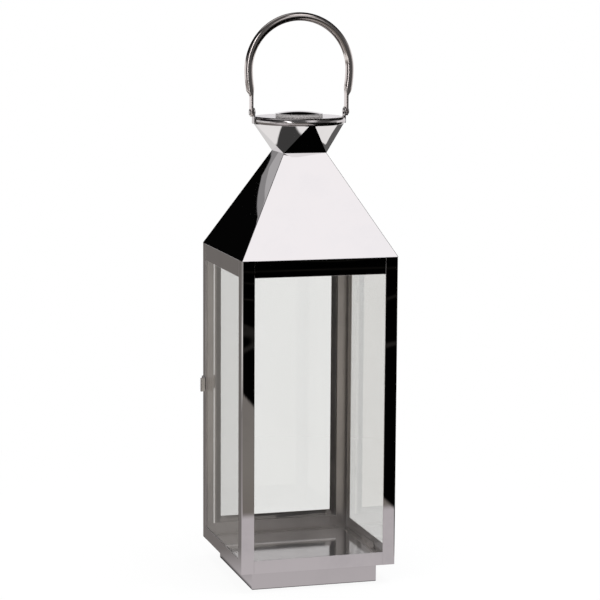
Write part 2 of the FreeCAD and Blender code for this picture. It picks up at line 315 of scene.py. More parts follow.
satinSteel = steelMaterial(
    "unpolishedInside", tone=(0.62, 0.585, 0.56), cloudTone=(0.56, 0.53, 0.505),
    gloss=(0.30, 0.40), waveDepth=0.00004, scratchDepth=0.000001)
# near black on faces turned down under the roof and cap, inside the neck, in the hollow of the rim
# and on the studs between disc and cap: painted shade
shadeSteel = steelMaterial(
    "paintedShadeInside", tone=(0.045, 0.042, 0.04), cloudTone=(0.025, 0.024, 0.023), gloss=(0.5, 0.7),
    waveDepth=0.00002, scratchDepth=0.000001)
gauzeSteel = steelMaterial(
    "fineGauze", tone=(0.50, 0.48, 0.475), cloudTone=(0.45, 0.43, 0.425), metal=0.0,
    gloss=(0.6, 0.7), waveDepth=0.00001, scratchDepth=0.0)
floorSteel = steelMaterial(
    "polishedFloor", grain=(30.0, 1.0, 1.0), gloss=(0.08, 0.12), waveDepth=0.0001,
    scratchDepth=0.0000008)
smallSteel = steelMaterial(
    "smallFittings", grain=(1.0, 1.0, 4.0), tone=(0.66, 0.64, 0.62), cloudTone=(0.55, 0.535, 0.52),
    gloss=(0.10, 0.24), waveDepth=0.00004)
paneGlass = glassMaterial("clearPane")
# a darker copy of the clear pane, for the front pane only: painted shade over all that is seen
# through it
shadedFrontGlass = glassMaterial("shadedFrontPane", tone=(0.90, 0.90, 0.89), smear=(0.88, 0.88, 0.87))
print("materials ready")


# body: corner posts and rails, folded from sheet

bodySizes = {"half": 90.0, "sheet": 0.8, "flange": 14.6, "low": 23.0, "high": 375.0,
             "foldOut": 1.5, "foldIn": 0.7, "foldSteps": 6, "edge": 0.3,
             "railLow": 38.0, "railHigh": 356.0, "lip": 8.0}


# inside the sheet: both |x| and |y| less than the middle of the sheet
def insideBody(centres, normals):
    return np.abs(centres[:, :2]).max(axis=1) < bodySizes["half"] - bodySizes["sheet"] / 2


# a folded section carried straight along an axis, then turned to its side of the body
def layFolded(node, loop, low, high, axis, count):
    (bar, wrapU, wrapV), caps = straightBar(loop, low, high, axis)
    layPiece(node + "_folded", [(quarterTurn(bar, count), wrapU, wrapV)], "lantern", sheetSteel,
             [node], caps=caps, linings=[satinSteel], inner=insideBody)


# an L-shaped angle in plan, fold rounded, carried straight up
def buildPosts(s):
    half, inner, end = s["half"], s["half"] - s["sheet"], s["half"] - s["flange"]
    corners = [(-half, -half), (-end, -half), (-end, -inner),
               (-inner, -inner), (-inner, -end), (-half, -end)]
    edge = s["edge"]
    loop = roundedLoop(corners, [s["foldOut"], edge, edge, s["foldIn"], edge, edge], s["foldSteps"])
    for count, corner in enumerate(("front_left", "front_right", "back_right", "back_left")):
        layFolded("post_" + corner, loop, s["low"], s["high"], 2, count)


# an L-shaped angle in side view, carried straight between two posts
def buildRails(s):
    half, inner, end = s["half"], s["half"] - s["sheet"], s["half"] - s["flange"]
    reach = inner - s["lip"]
    sill, under, edge = s["low"] + s["sheet"], s["high"] - s["sheet"], s["edge"]
    bottom = [(-half, s["low"]), (-inner, s["low"]), (-inner, sill), (-reach, sill),
              (-reach, sill + s["sheet"]), (-inner, sill + s["sheet"]),
              (-inner, s["railLow"]), (-half, s["railLow"])]
    top = [(-half, s["railHigh"]), (-inner, s["railHigh"]), (-inner, under),
           (-reach, under), (-reach, s["high"]), (-half, s["high"])]
    bottomLoop = roundedLoop(bottom, [edge, edge, edge / 2, edge, edge, edge / 2, edge, edge])
    topLoop = roundedLoop(top, edge)
    for count, side in enumerate(sideNames):
        layFolded("bottom_rail_" + side, bottomLoop, -end, end, 0, count)
        layFolded("top_rail_" + side, topLoop, -end, end, 0, count)


buildPosts(bodySizes)
buildRails(bodySizes)
print("posts and rails ready")


# plinth

plinthSizes = {"half": 73.5, "high": 23.0, "sheet": 0.8, "hem": 10.0, "corner": 1.4, "edge": 0.7,
               "foldIn": 0.2, "leastCorner": 0.3,
               "middle": 0.01, "point": 0.001}  # the rings close at the middle of the top plate


# rings of a rounded square, one for each (half width, height, corner radius) of a profile
def squareLathe(profile, steps=6):
    profile = np.asarray(profile, float)
    quarter = np.linspace(0, math.pi / 2, steps + 1)[None, :]
    turn = quarter + np.radians([180, 270, 0, 90])[:, None]
    unit = np.stack([np.cos(turn), np.sin(turn)], axis=-1).reshape(1, -1, 2)
    sign = np.repeat([(-1, -1), (1, -1), (1, 1), (-1, 1)], steps + 1, axis=0)[None]
    half, height = profile[:, 0, None, None], profile[:, 1]
    corner = np.minimum(profile[:, 2], profile[:, 0])[:, None, None]
    flat = sign * (half - corner) + unit * corner
    level = np.broadcast_to(height[:, None, None], flat.shape[:2] + (1,))
    return np.concatenate([flat, level], axis=-1)


# a folded tray: top plate, wall and turned-in hem, each as rounded squares
def buildPlinth(s):
    half, high, sheet, corner = s["half"], s["high"], s["sheet"], s["corner"]
    hem, wall, middle, fold = half - s["hem"], half - sheet, s["middle"], s["foldIn"]
    outline = roundedLoop(
        [(half, high), (half, 0), (hem, 0), (hem, sheet), (wall, sheet),
         (wall, high - sheet), (middle, high - sheet), (middle, high)],
        [s["edge"], s["edge"], fold, fold, fold, fold, s["point"], s["point"]])
    radius = np.clip(corner - (half - outline[:, 0]), s["leastCorner"], corner)
    grid = squareLathe(np.column_stack([outline, radius]))
    layPiece("plinth_folded", [(grid, True, True)], "lantern", baseSteel, ["plinth"])


buildPlinth(plinthSizes)
print("plinth ready")


# roof

roofSizes = {"half": 90.0, "eave": 375.0, "neckHalf": 25.0, "neck": 487.0, "sheet": 0.8,
             "crown": 0.12, "ridge": 1.1}


# straight lines between the eave and the neck, swelled outward by cos(pi u / 2) sin(pi v)
# with u from -1 to 1 between the hips, and a second skin one sheet inside
# near a hip the skin falls away along a circle of the ridge radius, so panels meet in a soft ridge
def buildRoof(s, rows=25, columns=25, bends=6):
    run, rise = s["half"] - s["neckHalf"], s["neck"] - s["eave"]
    slope = math.hypot(run, rise)
    share = math.acos((run / slope) ** 2) / 2  # half the turn between two panels
    bend = np.linspace(share, 0, bends)
    near = s["ridge"] * (math.sin(share) - np.sin(bend))
    flatPart = np.linspace(-1, 1, columns)[1:-1]
    v = np.linspace(0, 1, rows)[None, :]
    half = s["half"] + (s["neckHalf"] - s["half"]) * v
    edge = half - near[-1]
    x = np.concatenate([near[:, None] - half, edge * flatPart[:, None], half - near[::-1, None]])
    drop = s["ridge"] * (1 - np.cos(bend))
    fall = np.concatenate([drop, np.zeros(len(flatPart)), drop[::-1]])[:, None]
    swell = s["crown"] * np.cos(math.pi / 2 * np.clip(x / edge, -1, 1)) * np.sin(math.pi * v)
    lift = np.where((v > 0) & (v < 1), swell - fall, -fall)
    y = -half - lift * rise / slope
    z = s["eave"] + rise * v + np.maximum(lift, 0) * run / slope
    wall = s["sheet"] * slope / rise
    inside = np.broadcast_to(wall - half, x.shape)
    out = np.stack([x, y, z], axis=-1)
    back = np.stack([x * (half - wall) / half, inside, z], axis=-1)
    sheet = np.concatenate([out, back[:, ::-1]], axis=1)
    ends = [(0, 2 * rows), ((len(x) - 1) * 2 * rows, 2 * rows)]
    # faces turned down, under the roof, take the near black of painted shade
    for count, side in enumerate(sideNames):
        layPiece("roof_" + side + "_panel", [(quarterTurn(sheet, count), False, True)], "lantern",
                 roofSteel, ["roof_" + side], caps=ends, linings=[shadeSteel], inner=facesDown)


buildRoof(roofSizes)
print("roof ready")


# faceted neck

flareSizes = {"half": 25.0, "low": 487.0, "high": 518.5, "reach": 52.0, "tip": 3.75, "sheet": 0.8,
              "crown": 0.45}


# eight facets between a square and an eight-sided top; four hang, and swell by 4 u (1 - u) times t
def flareLoops(s, half, reach, steps=10, rows=14):
    t = np.linspace(0, 1, rows)[:, None, None]
    u = np.linspace(0, 1, steps, endpoint=False)[None, :, None]
    tip, parts = s["tip"], []
    corners = np.array([(-half, -half), (half, -half), (-tip, -reach), (tip, -reach),
                        (reach, -tip), (1, -1)], float)
    for count in range(4):
        left, right, tipLeft, tipRight, tipNext, outward = quarterTurn(corners, count)
        start, end = left * (1 - t) + tipLeft * t, right * (1 - t) + tipRight * t
        following = right * (1 - t) + tipNext * t
        swell = outward / math.sqrt(2) * s["crown"] * 4 * u * (1 - u) * t
        parts += [start * (1 - u) + end * u, end * (1 - u) + following * u + swell]
    flat = np.concatenate(parts, axis=1)
    level = np.broadcast_to(s["low"] + (s["high"] - s["low"]) * t, flat.shape[:2] + (1,))
    return np.concatenate([flat, level], axis=-1)


# two skins of facets; the sheet lies flatter at the wide end, so the inner skin is two sheets in
def buildFlare(s):
    outside = flareLoops(s, s["half"], s["reach"])
    inside = flareLoops(s, s["half"] - s["sheet"], s["reach"] - 2 * s["sheet"])
    grid = np.concatenate([outside, inside[::-1]])
    # the inner faces, turned up, take the near black of painted shade
    layPiece("chimney_flare_facets", [(grid, True, True)], "lantern", neckSteel,
             ["chimney_flare"], sharp=24, linings=[shadeSteel], inner=facesUp)


buildFlare(flareSizes)
print("neck ready")


# round top: disc, cap, spacers and gauze

topSizes = {"radius": 52.5, "low": 518.5, "roll": 4.2, "sheet": 0.8, "vent": 20.0, "lip": 0.6,
            "seat": 38.42, "capRadius": 27.0, "capBase": 529.9, "capRise": 3.0,
            "rimTurn": 0.05, "rimOut": 0.05, "rimLift": 0.03,  # degrees and mm of the cap's edge
            "stud": 1.4, "studWaist": 0.18, "studCount": 3, "studGap": 3.0,
            "gauzeFoot": 26.7, "gauzeBrim": 26.5, "gauzeWall": 0.2, "gauzeEnds": (0.05, 0.1)}


# a rolled rim: half circle between the top and the seat ring, and the same one sheet further in
def buildDisc(s, lipSteps=8, flatSteps=20, rimSteps=28, seatSteps=6, insideSteps=20, segments=160):
    shoulder, middle = s["radius"] - s["roll"], s["low"] + s["roll"]
    high, half = s["low"] + 2 * s["roll"], s["sheet"] / 2
    lipTop = arcPoints(s["vent"] + half, high - half, half, 270, 90, lipSteps)
    across = np.linspace(s["vent"] + s["lip"], shoulder, flatSteps)
    flatTop = np.column_stack([across, np.full(flatSteps, high)])[1:-1]
    rim = arcPoints(shoulder, middle, s["roll"], 90, -90, rimSteps)
    seat = arcPoints(s["seat"] + half, s["low"] + half, half, 270, 90, seatSteps)
    inside = arcPoints(shoulder, middle, s["roll"] - s["sheet"], -90, 90, insideSteps)
    profile = np.concatenate([lipTop, flatTop, rim, seat, inside])

    # the hollow inside the roll takes the near black of painted shade, the outside of the roll the
    # rolled-rim steel
    def hollowOrRim(centres, normals):
        out, up = np.hypot(centres[:, 0], centres[:, 1]), centres[:, 2] - middle
        reach = np.hypot(np.maximum(out - shoulder, 0), up)
        return np.where(reach < s["roll"] - half, 1, np.where(out > shoulder, 2, 0))

    layPiece("top_disc_spun", [(lathe(profile, segments), True, True)], "lantern", spunSteel,
             ["top_disc"], sharp=60, linings=[shadeSteel, rimSteel], inner=hollowOrRim, flat=False)


# radius of the sphere through the cap's rim and middle
def capBall(s):
    return (s["capRadius"] ** 2 + s["capRise"] ** 2) / (2 * s["capRise"])


# a shallow dome: height falls as the sphere does, and a second sphere lies one sheet inside
def buildCap(s, outSteps=24, inSteps=18, segments=128):
    ball, base = capBall(s), s["capBase"]
    deep = base + s["capRise"] - ball
    reach = math.degrees(math.asin(s["capRadius"] / ball))
    inner = math.degrees(math.acos((base - deep) / (ball - s["sheet"])))
    outside = arcPoints(0, deep, ball, 90, 90 - reach + s["rimTurn"], outSteps)
    hollow = arcPoints(0, deep, ball - s["sheet"], 90 - inner + s["rimTurn"], 90, inSteps)
    edge = [[outside[-1, 0] + s["rimOut"], base + s["rimLift"]], [hollow[0, 0] + s["rimOut"], base]]
    grid = lathe(np.concatenate([outside, edge, hollow]), segments)
    # faces turned down, under the cap, take the near black of painted shade
    layPiece("vent_cap_dome", [(grid, True, True)], "lantern", capSteel, ["vent_cap"], sharp=60,
             flat=False, linings=[shadeSteel], inner=facesDown)


# studs on a ring: a straight stem whose radius shrinks by the sine of its height
def buildSpacers(s, rows=9, segments=24):
    ball = capBall(s)
    inner = math.sqrt((ball - s["sheet"]) ** 2 - (ball - s["capRise"]) ** 2)
    ring = (s["capRadius"] + inner) / 2
    low, high = s["capBase"] - s["studGap"], s["capBase"]
    up = np.linspace(0, 1, rows)
    radius = s["stud"] * (1 - s["studWaist"] * np.sin(math.pi * up))
    stem = np.column_stack([radius, low + (high - low) * up])
    stem = np.concatenate([[[0, low]], stem, [[0, high]]])
    studs = []
    for angle in 2 * math.pi * np.arange(s["studCount"]) / s["studCount"]:
        centre = ring * math.cos(angle), ring * math.sin(angle)
        studs.append((lathe(stem, segments, centre), True, False))
    # the studs, between disc and cap, are wholly the near black of painted shade
    layPiece("vent_spacers_turned", studs, "lantern", shadeSteel, ["vent_spacers"], sharp=50)


# a thin ring, straight from its foot on the disc to its brim under the cap
def buildGauze(s, segments=96):
    foot, brim, wall = s["gauzeFoot"], s["gauzeBrim"], s["gauzeWall"]
    low = s["capBase"] - s["studGap"] + s["gauzeEnds"][0]
    high = s["capBase"] - s["gauzeEnds"][1]
    ring = [(foot - wall, low), (foot, low), (brim, high), (brim - wall, high)]
    layPiece("vent_gauze", [(lathe(ring, segments), True, True)], "lantern", gauzeSteel)


buildDisc(topSizes)
buildCap(topSizes)
buildSpacers(topSizes)
buildGauze(topSizes)
print("round top ready")


# handle, ears and pivots

handleSizes = {"level": 532.0, "tabMiddle": 55.85, "tabTop": 549.0, "taper": 10.0, "tabHalf": 5.0,
               "tabThick": 1.5, "tabPower": 5.5, "tube": 4.75, "legDrop": 20.5, "swell": 3.4,
               "around": 40}


# right half of the centre line: straight tab, a taper, a leg arc that swells outward, then a
# quarter circle to the crown; with each point, how round the section is and how wide the eye is
def handleLine(s, eyeSteps=10, tabSteps=8, taperSteps=15, legSteps=13, bowSteps=48):
    legEnd = s["tabTop"] + s["taper"]
    bowLevel, bow = legEnd + s["legDrop"], s["tabMiddle"] + s["swell"]
    sweep = s["swell"] / 2
    leg = (sweep ** 2 + s["legDrop"] ** 2) / (2 * sweep)
    lean = math.asin(s["legDrop"] / leg)
    foot = bow - leg * (1 - math.cos(lean))
    eye = s["level"] - s["tabHalf"] * np.cos(np.linspace(0, math.pi / 2, eyeSteps))
    tab = np.concatenate([eye, np.linspace(s["level"], s["tabTop"], tabSteps)[1:]])
    lower = np.column_stack([np.full(len(tab), s["tabMiddle"]), tab])
    t = np.linspace(0, 1, taperSteps)[1:-1]
    ease = t * t * (3 - 2 * t)
    inward = s["tabMiddle"] + (foot - s["tabMiddle"]) * ease
    taper = np.column_stack([inward, s["tabTop"] + s["taper"] * t])
    a = np.linspace(lean, 0, legSteps)
    legPart = np.column_stack([bow - leg * (1 - np.cos(a)), bowLevel - leg * np.sin(a)])
    b = np.linspace(0, math.pi / 2, bowSteps + 1)[1:]
    crown = np.column_stack([bow * np.cos(b), bowLevel + bow * np.sin(b)])
    line = np.concatenate([lower, taper, legPart, crown])
    shape = np.ones(len(line))
    shape[: len(lower)] = 0.0
    shape[len(lower): len(lower) + len(taper)] = ease
    width = np.ones(len(line))
    width[: len(eye)] = np.sqrt(np.maximum(1 - ((s["level"] - eye) / s["tabHalf"]) ** 2, 0.0))
    return line, shape, width


# superellipse sections, round on the bow and flat on the tabs, square to a line from eye to eye
def buildHandle(s):
    line, shape, width = handleLine(s)
    line = np.concatenate([line, line[-2::-1] * [-1, 1]])
    shape = np.concatenate([shape, shape[-2::-1]])
    width = np.concatenate([width, width[-2::-1]])
    run = directions(line)
    out = np.stack([run[:, 1], -run[:, 0]], axis=1)
    t = np.linspace(0, 2 * math.pi, s["around"], endpoint=False)[None, :]
    power = (2 / (s["tabPower"] + (2 - s["tabPower"]) * shape))[:, None]
    thick = (s["tabThick"] + (s["tube"] - s["tabThick"]) * shape)[:, None]
    wide = ((s["tabHalf"] + (s["tube"] - s["tabHalf"]) * shape) * width)[:, None]
    across = thick * np.sign(np.cos(t)) * np.abs(np.cos(t)) ** power
    depth = wide * np.sign(np.sin(t)) * np.abs(np.sin(t)) ** power
    x, z = (line[:, i, None] + out[:, i, None] * across for i in range(2))
    layPiece("handle_bow", [(np.stack([x, depth, z], axis=-1), False, True)], "handle", tubeSteel,
             ["handle"], sharp=55, flat=False)


earSizes = {"inner": 52.55, "thick": 1.5, "half": 5.0, "level": 532.0, "drop": 13.0, "edge": 0.35,
            "footRadius": 1.2, "sidePoint": 0.01, "middleDrop": 3.5,
            "closed": 99.0}  # an inset past the middle, which closes a face


# an arch outline with soft corners, drawn in by the edge radius at its two faces
def buildEars(s, archSteps=32, footSteps=6, edgeSteps=5):
    half, level, edge = s["half"], s["level"], s["edge"]
    foot = level - s["drop"]
    arch = arcPoints(0, level, half, 0, 180, archSteps)
    corners = [(-half, level), (-half, foot), (half, foot), (half, level)]
    radii = [s["sidePoint"], s["footRadius"], s["footRadius"], s["sidePoint"]]
    outline = np.concatenate([arch[1:-1], roundedLoop(corners, radii, footSteps)])
    middle = np.array([0.0, level - s["middleDrop"]])
    bend = np.radians(np.linspace(0, 90, edgeSteps))
    near, far = edge * (1 - np.sin(bend)), edge * (1 - np.cos(bend))
    inset = np.concatenate([[s["closed"]], near, far, [s["closed"]]])
    depth = np.concatenate([[0.0], far, s["thick"] - near, [s["thick"]]])
    away = outline - middle
    length = np.linalg.norm(away, axis=1)
    scale = np.maximum(length[None, :] - inset[:, None], 0) / length[None, :]
    flat = middle + away[None] * scale[..., None]
    for sign, side in ((1, "right"), (-1, "left")):
        x = np.broadcast_to(sign * (s["inner"] + depth)[:, None], flat.shape[:2])
        grid = np.concatenate([x[..., None], flat], axis=-1)
        layPiece("handle_ear_" + side + "_plate", [(grid, False, True)], "lantern", smallSteel,
                 ["handle_ear_" + side])


pivotSizes = {"tail": 51.35, "tailEnd": 52.55, "head": 57.65, "headEnd": 58.85, "shank": 2.0,
              "headRadius": 3.4, "headRim": 0.3, "level": 532.0}


# a rivet turned about its own axis: two low domed heads on a plain shank
def buildPivots(s, domeSteps=9, segments=40):
    dome = np.radians(np.linspace(0, 90, domeSteps))
    radius, shank, rim, tailEnd = s["headRadius"], s["shank"], s["headRim"], s["tailEnd"]
    headRise, tailRise = s["headEnd"] - s["head"] - rim, tailEnd - s["tail"] - rim
    head = np.column_stack([radius * np.cos(dome), s["head"] + rim + headRise * np.sin(dome)])
    tail = np.column_stack([radius * np.sin(dome), tailEnd - rim - tailRise * np.cos(dome)])
    body = [[radius, tailEnd], [shank, tailEnd], [shank, s["head"]], [radius, s["head"]]]
    turned = lathe(np.concatenate([tail, body, head]), segments)
    for sign, side in ((1, "right"), (-1, "left")):
        x, z = sign * turned[..., 2], s["level"] + turned[..., 0]
        layPiece("handle_pivot_" + side + "_rivet",
                 [(np.stack([x, turned[..., 1], z], axis=-1), True, False)], "lantern", smallSteel,
                 ["handle_pivot_" + side], sharp=45)


buildHandle(handleSizes)
buildEars(earSizes)
buildPivots(pivotSizes)
print("handle ready")


# door catch and hinges

catchSizes = {"stile": (-74.4, -66.9), "half": 90.0, "clear": 0.4, "thick": 1.0, "level": 209.0,
              "high": 16.0, "reach": 15.0, "lip": 3.7, "curl": 1.5, "curlEnd": 40.0, "bend": 1.2,
              "footBend": 0.8, "dip": 2.4, "edge": 0.3,
              "padEdge": 0.05, "padSink": 0.1, "padShort": 0.2}


# a strip on edge: its plan line is offset by half its thickness each way, and its edges are rounded
# the line runs along the stile, round the post, out as a lip, dips and ends in a rolled eye
def buildCatch(s, bendSteps=8, footSteps=6, dipSteps=7, curlSteps=14, padSteps=2):
    left, right = s["stile"]
    half, tall, bend, footBend = s["thick"] / 2, s["high"] / 2, s["bend"], s["footBend"]
    near = s["half"] + s["clear"]
    mid, front = near + half, s["half"] - s["reach"] + half
    tip = -near - s["thick"] - s["lip"]
    curl = s["curl"] - half
    t = np.linspace(0, 1, dipSteps)[:-1]
    dip = np.column_stack([tip + s["dip"] * (1 - t), front - curl * t * t * (3 - 2 * t)])
    corner = arcPoints(-mid + bend, mid - bend, bend, 90, 180, bendSteps)
    foot = arcPoints(-mid - footBend, front + footBend, footBend, 0, -90, footSteps)
    eye = arcPoints(tip, front, curl, 270, s["curlEnd"], curlSteps)
    line = np.concatenate([[(right, mid), (left, mid)], corner, foot, dip, eye])
    run = directions(line)
    side = np.stack([-run[:, 1], run[:, 0]], axis=1)
    section = roundedBox((-half, -tall), (half, tall), s["edge"])
    xy = line[:, None] + side[:, None] * section[None, :, 0, None]
    z = np.broadcast_to(s["level"] + section[None, :, 1], xy.shape[:2])
    strip = np.concatenate([xy, z[..., None]], axis=-1)
    pad = roundedBox((left, s["half"]), (right, near + s["padSink"]), s["padEdge"], padSteps)
    padTall = tall - s["padShort"]
    (block, wrapU, wrapV), caps = straightBar(pad, s["level"] - padTall, s["level"] + padTall, 2)
    rows, around = strip.shape[:2]
    ends = [(0, around), ((rows - 1) * around, around)]
    ends += [(rows * around + start, count) for start, count in caps]
    layPiece("door_catch_strip", [(strip, False, True), (block, wrapU, wrapV)], "door", smallSteel,
             ["door_catch"], caps=ends, sharp=50)


hingeSizes = {"x": 74.9, "y": 92.3, "levels": (88.0, 306.0), "high": 17.0, "gap": 0.2, "half": 90.0,
              "barrel": 2.0, "barrelEase": 0.2, "bore": 1.05,
              "pin": 1.0, "pinHead": 0.6, "pinRim": 0.1,
              "leaf": 0.8, "leafCorner": 0.8, "postReach": 11.0, "doorReach": 7.0,
              "leafShrink": (0.0, 0.97, 1.0, 1.0, 0.97, 0.0),  # of the outline, through the leaf
              "leafDepth": (0.0, 0.0, 0.15, 0.8, 1.0, 1.0),
              "strapFrom": 0.2, "strapMore": 0.4,
              "rivet": 1.3, "rivetRise": 0.45, "rivetSink": 0.05, "rivetHigh": (-5.2, 5.2),
              "postRivet": 7.2, "doorRivet": -4.9}


# a barrel is a ring section turned about the pin, its outer edges eased
def barrel(s, low, high, segments=40):
    ease, outer, bore = s["barrelEase"], s["barrel"], s["bore"]
    ring = [(bore, low), (outer - ease, low), (outer, low + ease), (outer, high - ease),
            (outer - ease, high), (bore, high)]
    return lathe(ring, segments, (s["x"], s["y"])), True, True


# a leaf is a rounded rectangle with its face edge drawn in, closed at the middle of each face
def leafPlate(s, level, start, reach, high):
    low, wide = min(start, start + reach), abs(reach)
    outline = roundedBox((low, level - high / 2), (low + wide, level + high / 2), s["leafCorner"])
    middle = np.array([low + wide / 2, level])
    flat = middle + (outline - middle)[None] * np.array(s["leafShrink"])[:, None, None]
    depth = s["half"] + s["leaf"] * np.array(s["leafDepth"])
    y = np.broadcast_to(depth[:, None], flat.shape[:2])
    return np.stack([flat[..., 0], y, flat[..., 1]], axis=-1), False, True


# a rivet head is a low dome: height follows the cosine of the angle from its middle
def rivetHead(s, x, z, rows=6, segments=20):
    a = np.radians(np.linspace(0, 90, rows))
    t = np.linspace(0, 2 * math.pi, segments, endpoint=False)
    r = s["rivet"] * np.sin(a)
    face = s["half"] + s["leaf"] - s["rivetSink"]
    y = np.broadcast_to(face + s["rivetRise"] * np.cos(a)[None, :], (segments, rows))
    dome = np.stack([x + np.outer(np.cos(t), r), y, z + np.outer(np.sin(t), r)], axis=-1)
    floor = np.broadcast_to(np.array([x, face, z], float), (segments, 1, 3))
    return np.concatenate([dome, floor], axis=1), True, False


# a pin is a plain shank with a low domed head
def hingePin(s, low, top, domeSteps=6, segments=32):
    dome = np.radians(np.linspace(0, 90, domeSteps))
    rise = top + s["pinRim"] + (s["pinHead"] - s["pinRim"]) * np.sin(dome)
    head = np.column_stack([s["barrel"] * np.cos(dome), rise])
    shank = [(0, low), (s["pin"], low), (s["pin"], top), (s["barrel"], top)]
    return lathe(np.concatenate([shank, head]), segments, (s["x"], s["y"])), True, False


# each hinge has two outer barrels on the post's leaf and one between them on the door's
def buildHinges(s):
    half, sixth, x = s["high"] / 2, s["high"] / 6, s["x"]
    outer, inner = sixth + s["gap"] / 2, sixth - s["gap"] / 2
    room, strap = s["barrel"] + s["gap"], half - outer
    overlap = room + s["strapMore"]
    post, door, pins = [], [], []
    for level in s["levels"]:
        low, top = level - half, level + half
        post += [barrel(s, low, level - outer), barrel(s, level + outer, top)]
        post.append(leafPlate(s, level, x + room, s["postReach"] - room, s["high"]))
        for z in (low + strap / 2, top - strap / 2):
            post.append(leafPlate(s, z, x + s["strapFrom"], overlap, strap))
        door.append(barrel(s, level - inner, level + inner))
        door.append(leafPlate(s, level, x - room, -(s["doorReach"] - room), s["high"]))
        door.append(leafPlate(s, level, x - s["strapFrom"], -overlap, 2 * inner))
        for leaves, aside in ((post, s["postRivet"]), (door, s["doorRivet"])):
            leaves += [rivetHead(s, x + aside, level + z) for z in s["rivetHigh"]]
        pins.append(hingePin(s, low, top))
    for node, made, grids, body in (("hinge_leaves_post", "_plates", post, "lantern"),
                                    ("hinge_leaves_door", "_plates", door, "door"),
                                    ("hinge_pins", "_turned", pins, "lantern")):
        layPiece(node + made, grids, body, smallSteel, [node], sharp=50)


buildCatch(catchSizes)
buildHinges(hingeSizes)
print("catch and hinges ready")


# carried-over nodes keep their solids; edges are eased a little, in metres

easeSizes = {"weld": 1e-5, "edge": 0.00016, "glassEdge": 0.0003, "angle": 30.0, "segments": 2}
carriedLooks = {"floor_plate": floorSteel, "glass_front": shadedFrontGlass, "glass_right": paneGlass,
                "glass_left": paneGlass, "door_glass": paneGlass}


def finishNode(part, look, s):
    part.material_slots[0].material = look
    part.modifiers.new("weld", "WELD").merge_threshold = s["weld"]
    ease = part.modifiers.new("ease", "BEVEL")
    ease.width = s["glassEdge"] if look in (paneGlass, shadedFrontGlass) else s["edge"]
    ease.segments = s["segments"]
    ease.limit_method = "ANGLE"
    ease.angle_limit = math.radians(s["angle"])
    ease.harden_normals = True


replaced = {name for piece in scene.objects for name in piece.get("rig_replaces", [])}
for name, part in nodes.items():
    if name not in replaced:
        finishNode(part, carriedLooks.get(name, satinSteel), easeSizes)
print("carried-over nodes:", len(nodes) - len(replaced))


# camera: fitted to the corners of the body, 600 x 600

cameraSizes = {"eye": (-0.70362944, -2.41518181, 0.68707392),
               "yaw": 0.28438389, "pitch": 0.14617411, "roll": 0.00604193,
               "lens": 133.2942, "sensor": 36.0, "far": 100.0}


# forward from yaw and pitch, right level with the floor, both turned by the roll
def buildCamera(s):
    level, down = math.cos(s["pitch"]), math.sin(s["pitch"])
    forward = Vector((math.sin(s["yaw"]) * level, math.cos(s["yaw"]) * level, -down))
    right = Vector((math.cos(s["yaw"]), -math.sin(s["yaw"]), 0))
    up = right.cross(forward)
    c, k = math.cos(s["roll"]), math.sin(s["roll"])
    turnedRight, turnedUp = right * c + up * k, up * c - right * k
    lens = bpy.data.cameras.new("photoCamera")
    lens.sensor_width = s["sensor"]
    lens.lens = s["lens"]
    lens.clip_end = s["far"]
    camera = bpy.data.objects.new("photoCamera", lens)
    scene.collection.objects.link(camera)
    place = Matrix((turnedRight, turnedUp, -forward)).transposed().to_4x4()
    place.translation = Vector(s["eye"])
    camera.matrix_world = place
    scene.camera = camera


buildCamera(cameraSizes)
print("camera ready")


# studio: a white floor and background, with dark and light parts that only mirrors see

def reckon(operation, a, b=0.0, c=0.0, clamp=False):
    kind = {"operation": operation, "use_clamp": clamp}
    return wire(a.id_data, "Math", kind, i0=a, i1=b, i2=c)[0]


def largest(first, *others):
    for other in others:
        first = reckon("MAXIMUM", first, other)
    return first


def product(first, *others):
    for other in others:
        first = reckon("MULTIPLY", first, other)
    return first


# how far a value is from a middle
def apart(value, middle):
    return reckon("ABSOLUTE", reckon("SUBTRACT", value, middle))


# how far a value is over a line: value - (x slope + level)
def overLine(value, x, slope, level):
    return reckon("SUBTRACT", value, reckon("MULTIPLY_ADD", x, slope, level))


# full strength at the first number, none at the second
def fade(value, full, none, strength=1.0):
    if full < none:
        return spread(value, strength, 0.0, full, none, True)
    return spread(value, 0.0, strength, none, full, True)


def emptyTree(owner):
    owner.use_nodes = True
    owner.node_tree.nodes.clear()
    return owner.node_tree


def mixShaders(share, first, second):
    return wire(share.id_data, "MixShader", i0=share, i1=first, i2=second)[0]


def shine(tree, kind, tone=(1, 1, 1), strength=1.0):
    color = tone if isinstance(tone, bpy.types.NodeSocket) else (*tone, 1)
    return wire(tree, kind, Color=color, Strength=strength)[0]


# seen by the camera, straight or through glass only; in a mirror; in a mirror behind glass
# depths count the bounces, so over a half means one or more
def seenDirectly(tree):
    path = wire(tree, "LightPath")
    mirrored = reckon("GREATER_THAN", path["Glossy Depth"], 0.5)
    through = reckon("GREATER_THAN", path["Transmission Depth"], 0.5)
    shown = largest(path["Is Camera Ray"], path["Is Transmission Ray"])
    shown = reckon("SUBTRACT", shown, mirrored, clamp=True)
    return shown, mirrored, product(mirrored, through)


